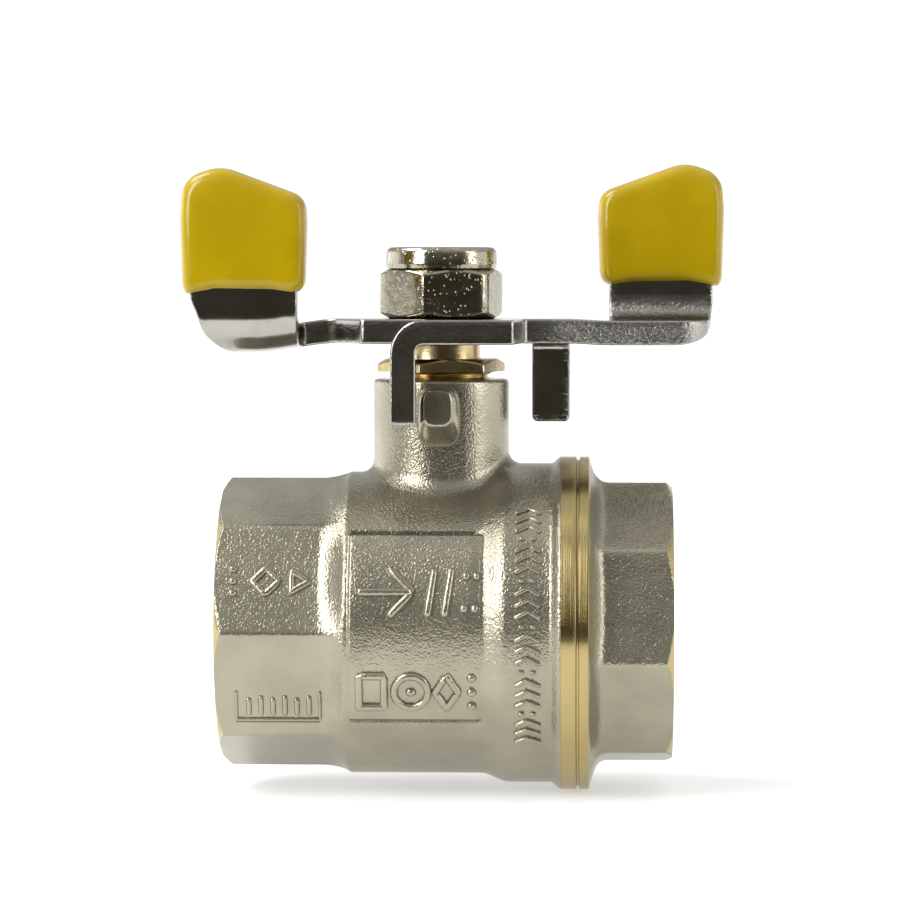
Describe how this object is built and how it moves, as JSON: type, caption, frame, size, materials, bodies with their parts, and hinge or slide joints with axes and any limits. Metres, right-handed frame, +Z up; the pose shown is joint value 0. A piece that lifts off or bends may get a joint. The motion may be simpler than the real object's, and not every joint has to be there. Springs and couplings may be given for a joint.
{
  "type": "gas ball valve",
  "caption": "Quarter-turn gas ball valve with female pipe threads at both ends, a screwed-in end connector, a gland on the stem and a butterfly lever with soft sleeves.",
  "frame": {"origin": "centre of the ball, where the pipe's axis meets the stem's axis", "axes": "+X along the pipe from the inlet to the outlet, +Z up the stem to the lever, -Y to the front where the stop lug is"},
  "size_m": [0.062, 0.0384, 0.0722],
  "materials": {
    "nickel_plated_brass": "nickel plated over a shot-blasted forging, satin",
    "bare_brass": "turned, bare",
    "chromed_ball": "hard chromed and polished",
    "plated_steel": "stamped sheet, bright zinc plated, rough sheared edges",
    "plated_nut": "bright plated",
    "yellow_vinyl": "dipped, glossy",
    "ptfe": "matt white",
    "nylon": "matt",
    "nitrile_rubber": "black, matt"
  },
  "bodies": {
    "housing": {"valve_body": "nickel_plated_brass", "end_connector": "nickel_plated_brass", "connector_seal_ring": "ptfe", "seat_ring_inlet": "ptfe", "seat_ring_outlet": "ptfe", "stem_thrust_washer": "ptfe", "packing_ring_lower": "ptfe", "packing_ring_upper": "ptfe", "gland_nut": "bare_brass"},
    "lever_and_stem": {"stem": "bare_brass", "stem_o_ring_lower": "nitrile_rubber", "stem_o_ring_upper": "nitrile_rubber", "lever": "plated_steel", "sleeve_left": "yellow_vinyl", "sleeve_right": "yellow_vinyl", "lever_nut": "plated_nut", "lever_nut_insert": "nylon"},
    "ball": {"ball": "chromed_ball"}
  },
  "joints": [
    {"name": "lever_turn", "type": "hinge", "parent": "housing", "child": "lever_and_stem", "pos_m": [0, 0, 0.0323], "axis": [0, 0, 1], "range_deg": [-90, 0]},
    {"name": "ball_turn", "type": "hinge", "parent": "housing", "child": "ball", "pos_m": [0, 0, 0], "axis": [0, 0, 1], "range_deg": [-90, 0]}
  ],
  "couplings": [
    {"joint": "ball_turn", "follows": "lever_turn", "ratio": 1}
  ]
}
